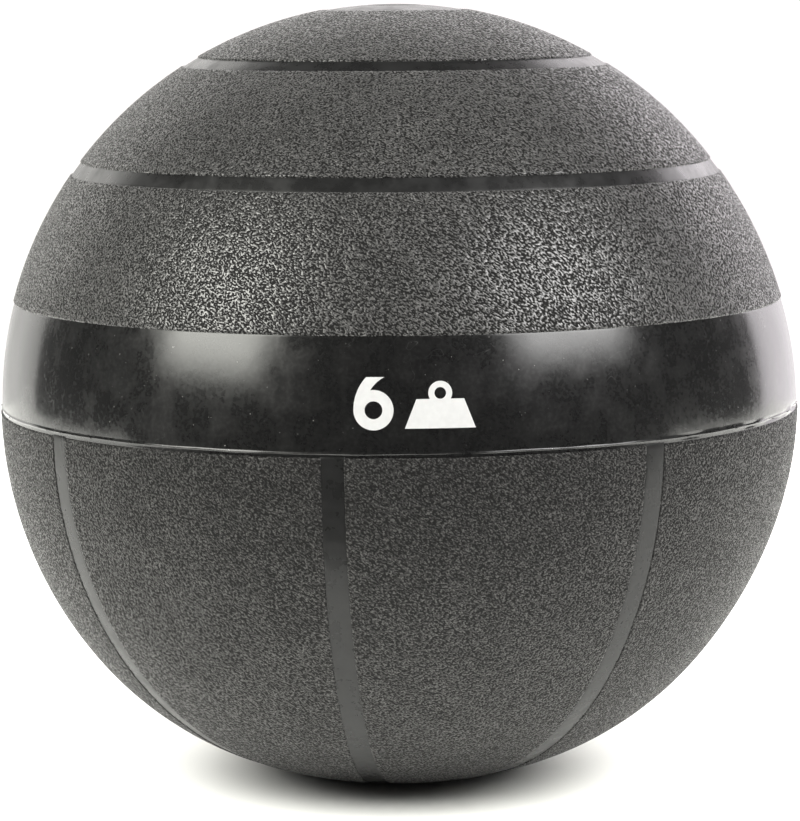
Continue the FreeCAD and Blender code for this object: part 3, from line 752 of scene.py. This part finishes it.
PLUG_SEAT = 111.0 * MM  # under the head, above the ball's centre
PLUG_SHANK = 4.6 * MM
PLUG_RIB = 5.7 * MM
PLUG_RIBS = (8.0 * MM, 3.4 * MM)  # their lower edges above the shank's end
RIB_WIDTH = 1.6 * MM
RIB_PROFILE = ((1, PLUG_SHANK), (0.15, PLUG_RIB), (-0.15, PLUG_RIB), (-1, PLUG_SHANK))
PLUG_CHAMFER = 1.2 * MM
PLUG_HUB = 0.4 * MM  # innermost ring of points round its axis
PLUG_RINGS = 16
PLUG_SIDES = 96


def filler_plug():
    """The plug: a domed head with a rounded rim, and a shank with two ribs and a chamfered end.

    Its profile runs from the middle of the head, over the rim and in under it, and down the shank.
    """
    low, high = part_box("filler_plug")
    head, crown = high.x, BALL_RADIUS - RECESS
    seat = CENTRE_Z + PLUG_SEAT
    rim = CENTRE_Z + math.sqrt(crown**2 - head**2)
    rings = np.linspace(PLUG_HUB, head - 0.5 * MM, PLUG_RINGS)
    dome = [(r, CENTRE_Z + math.sqrt(crown**2 - r**2)) for r in rings]
    rounding = [(head - 0.15 * MM, rim - 0.05 * MM), (head, rim - 0.3 * MM), (head, seat + 0.2 * MM)]
    under = [(head - 0.2 * MM, seat), (PLUG_SHANK + 0.3 * MM, seat), (PLUG_SHANK, seat - 0.3 * MM)]
    ribs = []
    for height in PLUG_RIBS:
        middle = low.z + height + RIB_WIDTH / 2
        ribs += [(radius, middle + away * RIB_WIDTH / 2) for away, radius in RIB_PROFILE]
    end = [(PLUG_SHANK, low.z + PLUG_CHAMFER), (PLUG_SHANK - PLUG_CHAMFER, low.z), (PLUG_HUB, low.z)]
    plug = turned_piece("filler_plug", dome + rounding + under + ribs + end, PLUG_SIDES)
    dress(plug, "plug_plastic", "plug", "filler_plug")


filler_plug()


# ---------------------------------------------------------------- the lower half

FEWEST_WIDE = 5  # points across the narrowest face of a long piece
BACK_POINTS = 9  # and across its back
# Where a row's points lie along it, for stitching: one edge, the face and the back. The other edge's
# points follow the face's.
EDGE_PLACES = (0.01, 0.04)
FACE_PLACES = (0.05, 0.45)
BACK_PLACES = (0.55, 0.95)


def long_piece(name, angle, half_turn, offset, lengths, face_depth, step, edge):
    """A piece that runs down the lower half, as rows across it, each a closed loop.

    Its edges lie at half_turn to each side of angle, seen from the axis, and in from there by offset.
    """
    rows, places, normals, covers = [], [], [], []
    shifts, drops, shares = (np.array(column) for column in zip(*edge))
    for length, drop, share in lengths:
        r = float(side(length)[0])
        half = half_turn * r - offset
        count = max(FEWEST_WIDE, int(2 * half / step))
        face = np.linspace(-half, half, count)
        back = np.linspace(half, -half, BACK_POINTS)
        reach = np.concatenate([-half - shifts[::-1], face, half + shifts, back])
        depth = face_depth + drop + np.concatenate([drops[::-1], np.zeros(count), drops])
        depth = np.minimum(np.concatenate([depth, np.full(BACK_POINTS, COVER)]), COVER)
        cover = [share * shares[::-1], np.full(count, share), share * shares, np.zeros(BACK_POINTS)]
        pr, pz, nr, nz = side(np.full(len(reach), length), depth)
        theta = angle + reach / r
        rows.append(np.stack([pr * np.sin(theta), -pr * np.cos(theta), pz + CENTRE_Z], 1))
        normals.append(np.stack([nr * np.sin(theta), -nr * np.cos(theta), nz], 1))
        covers.append(np.concatenate(cover))
        edge_at = np.linspace(*EDGE_PLACES, len(edge))
        face_at = np.linspace(*FACE_PLACES, count)
        back_at = np.linspace(*BACK_PLACES, BACK_POINTS)
        places.append(np.concatenate([edge_at, face_at, FACE_PLACES[1] + edge_at, back_at]))
    points, triangles = skin(rows, places, True, False, capped=True)
    normals.append(np.zeros((2, 3)))  # the two hubs
    covers.append(np.zeros(2))
    return new_piece(name, points, triangles, np.concatenate(normals), np.concatenate(covers))


def end_rows(top, bottom, step, edge):
    """Lengths down a long piece, with edges that round over at both ends."""
    face = [(length, 0.0, 1.0) for length in np.linspace(top, bottom, int((bottom - top) / step))]
    start = [(top - shift, drop, share) for shift, drop, share in edge[::-1]]
    end = [(bottom + shift, drop, share) for shift, drop, share in edge]
    return start + face + end


LONG_TOP = length_at(BAND_LOW)
HALF_SHARE = math.pi / STRIP_COUNT
PANEL_ROWS = end_rows(LONG_TOP + PANEL_INSET / 3, FLAT_LENGTH - PANEL_INSET, GRAIN_STEP, PANEL_EDGE)
STRIP_ROWS = end_rows(LONG_TOP, FLAT_LENGTH, RING_STEP, STRIP_EDGE)


def lower_panel(name, angle):
    """A textured panel down the lower half, between two strips."""
    cut_back = STRIP_WIDTH / 2 + PANEL_INSET
    panel = long_piece(name, angle, HALF_SHARE, cut_back, PANEL_ROWS, 0.0, GRAIN_STEP, PANEL_EDGE)
    dress(press_grain(panel), "textured_rubber", "ball", name, material="lower_panel_rubber")


def lower_strip(name, angle):
    """A smooth strip of constant width down the lower half."""
    widen = -STRIP_WIDTH / 2
    strip = long_piece(name, angle, 0.0, widen, STRIP_ROWS, STRIP_RECESS, STRIP_STEP, STRIP_EDGE)
    dress(strip, "smooth_rubber", "ball", name, material="dusty_strip")


for place in range(STRIP_COUNT):
    strip_angle = STRIP_TURN + 2 * place * HALF_SHARE
    lower_panel(f"lower_panel_{place + 1}", strip_angle + HALF_SHARE)
    lower_strip(f"lower_strip_{place + 1}", strip_angle)

DISC_HUB = 0.5 * MM  # innermost ring of points round its axis
DISC_SIDES = 160


def base_disc():
    """The disc under the ball, its edges rounded."""
    face = [(r, 0.0) for r in np.arange(DISC_HUB, BASE_RADIUS - 0.6 * MM, RING_STEP)]
    rim = [(BASE_RADIUS - 0.5 * MM, 0.0), (BASE_RADIUS - 0.1 * MM, 0.15 * MM), (BASE_RADIUS, 0.5 * MM)]
    back = [(BASE_RADIUS, COVER), (0.5 * BASE_RADIUS, COVER), (DISC_HUB, COVER)]
    disc = turned_piece("base_disc", face + rim + back, DISC_SIDES)
    dress(disc, "smooth_rubber", "ball", "base_disc")


base_disc()

# The pieces inside and the printed mark keep their CAD shapes.
for name, slot in (
    ("carcass_upper", "carcass_rubber"),
    ("carcass_lower", "carcass_rubber"),
    ("inner_bladder", "bladder_rubber"),
    ("sand_fill", "sand"),
    ("filler_neck", "carcass_rubber"),
    ("weight_numeral", "white_ink"),
    ("weight_symbol", "white_ink"),
):
    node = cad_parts[name]
    node.data.materials.clear()
    node.data.materials.append(MATERIALS[slot])


# ---------------------------------------------------------------- floor, surroundings and light


def one_sided(nodes, surface):
    """Lets a sheet be seen from its front only, so that it never hides the ball."""
    behind = nodes.add("ShaderNodeNewGeometry", output=6)
    nodes.put(surface.inputs["Alpha"], nodes.maths("SUBTRACT", 1.0, behind))


def sheet_of(name, corners, material):
    """A flat sheet of the set, which isn't part of the ball."""
    mesh = bpy.data.meshes.new(name)
    mesh.from_pydata(corners, [], [(0, 1, 2, 3)])
    sheet = bpy.data.objects.new(name, mesh)
    mesh.materials.append(material)
    bpy.context.scene.collection.objects.link(sheet)
    return sheet


FLOOR_REACH = 1.0
FLOOR_FRONT = 0.2
BACKDROP_DISTANCE = 0.8
BACKDROP_LEFT = -1.24
BACKDROP_RIGHT = 1.30
BACKDROP_FOOT = -0.3
BACKDROP_TOP = 0.95
BACKDROP_GLOW = 1.07  # straight behind the ball, where 1 is white

FLOOR_COLOUR = (0.9, 0.9, 0.87, 1)
FLOOR_ROUGHNESS = 0.6


def floor_material():
    """Plain, pale and matt."""
    material, nodes, surface = new_material("floor")
    nodes.put(surface.inputs["Base Color"], FLOOR_COLOUR)
    nodes.put(surface.inputs["Roughness"], FLOOR_ROUGHNESS)
    one_sided(nodes, surface)
    return material


floor = sheet_of(
    "floor",
    [
        (-FLOOR_REACH, -FLOOR_FRONT, 0),
        (FLOOR_REACH, -FLOOR_FRONT, 0),
        (FLOOR_REACH, BACKDROP_DISTANCE, 0),
        (-FLOOR_REACH, BACKDROP_DISTANCE, 0),
    ],
    floor_material(),
)

TINT_LEFT = (1.0, 0.99, 0.95, 1)
TINT_RIGHT = (1.02, 0.97, 1.0, 1)


def backdrop_material():
    """A lit sheet, brighter towards both sides and the top, and brightest at the right."""
    material, nodes, surface = new_material("backdrop")
    place = nodes.add("ShaderNodeTexCoord", output=3)
    across = nodes.add("ShaderNodeSeparateXYZ", {"Vector": place}, output=0)
    up = nodes.add("ShaderNodeSeparateXYZ", {"Vector": place}, output=2)
    # Each ramp goes from one place to another across or up the sheet, and adds to its glow.
    right = nodes.ramp(across, 0.25, 0.95, 0.0, 1.6, smooth=False)
    left = nodes.ramp(across, -0.75, -0.5, 0.65, 0.0, smooth=False)
    above = nodes.ramp(up, 0.26, 0.5, 0.0, 0.8, smooth=False)
    above = nodes.maths("MULTIPLY", above, nodes.ramp(across, 0.0, 0.6, 1.0, 2.2))
    sides = nodes.maths("ADD", left, right)
    glow = nodes.maths("ADD", nodes.maths("ADD", sides, above), BACKDROP_GLOW)
    nodes.put(surface.inputs["Base Color"], grey(0.0))
    nodes.put(surface.inputs["Specular IOR Level"], 0.0)
    tint = nodes.mix(nodes.ramp(across, -0.6, 0.6), TINT_LEFT, TINT_RIGHT)
    nodes.put(surface.inputs["Emission Color"], tint)
    nodes.put(surface.inputs["Emission Strength"], glow)
    one_sided(nodes, surface)
    return material


sheet_of(
    "backdrop",
    [
        (BACKDROP_LEFT, BACKDROP_DISTANCE, BACKDROP_FOOT),
        (BACKDROP_RIGHT, BACKDROP_DISTANCE, BACKDROP_FOOT),
        (BACKDROP_RIGHT, BACKDROP_DISTANCE, BACKDROP_TOP),
        (BACKDROP_LEFT, BACKDROP_DISTANCE, BACKDROP_TOP),
    ],
    backdrop_material(),
)

LIGHT_EDGE = 0.3  # share of a light's width over which its edge fades


def faded(nodes, face, axis):
    """Falls off towards both edges of a light's face, across or up it."""
    at = nodes.add("ShaderNodeSeparateXYZ", {"Vector": face}, output=axis)
    rising = nodes.ramp(at, 0.0, LIGHT_EDGE)
    return nodes.maths("MULTIPLY", rising, nodes.ramp(at, 1 - LIGHT_EDGE, 1.0, 1.0, 0.0))


def softbox(name, azimuth, elevation, distance, width, height, glow, colour):
    """A rectangular light that faces the ball's centre, with soft edges.

    It is round the ball by azimuth from the front, and up by elevation. glow is how bright its face is,
    where 1 is white.
    """
    data = bpy.data.lights.new(name, "AREA")
    data.shape = "RECTANGLE"
    data.size, data.size_y = width, height
    data.energy = glow * math.pi * width * height
    data.color = colour
    data.use_nodes = True
    nodes = Nodes(data.node_tree)
    face = nodes.add("ShaderNodeNewGeometry", output=5)
    emission = data.node_tree.nodes["Emission"]
    strength = nodes.maths("MULTIPLY", faded(nodes, face, 0), faded(nodes, face, 1))
    nodes.put(emission.inputs["Strength"], strength)
    lamp = bpy.data.objects.new(name, data)
    a, e = math.radians(azimuth), math.radians(elevation)
    toward = Vector((math.sin(a) * math.cos(e), -math.cos(a) * math.cos(e), math.sin(e)))
    lamp.location = CENTRE + toward * distance
    lamp.rotation_mode = "QUATERNION"
    lamp.rotation_quaternion = toward.to_track_quat("Z", "Y")
    bpy.context.scene.collection.objects.link(lamp)
    return lamp


FLOOR_LIGHT = (1.0, 1.0, 0.97)

# Each light's azimuth, elevation and distance, then its size, brightness and colour.
softboxes = [
    softbox("softbox_left", -53.5, 29, 1.2, width=0.92, height=1.05, glow=10.4, colour=(1.0, 1.0, 0.93)),
    softbox("softbox_right", 51.5, 32, 1.2, width=0.98, height=1.0, glow=9.8, colour=(1.0, 0.99, 0.98)),
]
floor_lamps = [
    softbox("floor_light", 0, 90, 1.0, width=4.6, height=4.6, glow=2.2, colour=FLOOR_LIGHT),
    softbox("floor_left", -80, 33, 1.2, width=1.4, height=1.0, glow=9.5, colour=FLOOR_LIGHT),
    softbox("floor_right", 80, 33, 1.2, width=1.4, height=1.0, glow=9.5, colour=FLOOR_LIGHT),
    softbox("floor_front", 0, 45, 1.2, width=1.8, height=0.9, glow=6.0, colour=FLOOR_LIGHT),
]

# The floor lamps light the floor alone, and the softboxes light everything else.
floor_only = bpy.data.collections.new("floor_only")
floor_only.objects.link(floor)
all_but_floor = bpy.data.collections.new("all_but_floor")
all_but_floor.objects.link(floor)
all_but_floor.collection_objects[0].light_linking.link_state = "EXCLUDE"
for lamp in floor_lamps:
    lamp.light_linking.receiver_collection = floor_only
for lamp in softboxes:
    lamp.light_linking.receiver_collection = all_but_floor

WORLD_GLOW = 0.08  # dim as a light, pale where it is seen

world = bpy.data.worlds.new("studio")
world.use_nodes = True
world_nodes = Nodes(world.node_tree)
background = world.node_tree.nodes["Background"]
world_nodes.put(background.inputs["Color"], grey(1.0))
seen = world_nodes.add("ShaderNodeLightPath")
world_glow = world_nodes.ramp(seen, 0.0, 1.0, WORLD_GLOW, 1.0, smooth=False)
world_nodes.put(background.inputs["Strength"], world_glow)
bpy.context.scene.world = world
bpy.context.scene.view_settings.view_transform = "Standard"


# ---------------------------------------------------------------- camera

CAMERA_DISTANCE = 8.55 * BALL_RADIUS
CAMERA_RISE = math.radians(7.25)
CAMERA_ROLL = math.radians(-0.4)
CAMERA_LENS = 147.4
CAMERA_SENSOR = 36
CAMERA_SHIFT = (0.0037, -0.0149)

camera_data = bpy.data.cameras.new("camera")
camera_data.lens = CAMERA_LENS
camera_data.sensor_width = CAMERA_SENSOR
camera_data.shift_x, camera_data.shift_y = CAMERA_SHIFT
camera_data.dof.use_dof = False
camera = bpy.data.objects.new("camera", camera_data)
view_out = Vector((0, -math.cos(CAMERA_RISE), math.sin(CAMERA_RISE)))
camera.location = CENTRE + view_out * CAMERA_DISTANCE
camera.rotation_mode = "QUATERNION"
aim = view_out.to_track_quat("Z", "Y").to_matrix()
camera.rotation_quaternion = (Matrix.Rotation(CAMERA_ROLL, 3, view_out) @ aim).to_quaternion()
bpy.context.scene.collection.objects.link(camera)
bpy.context.scene.camera = camera
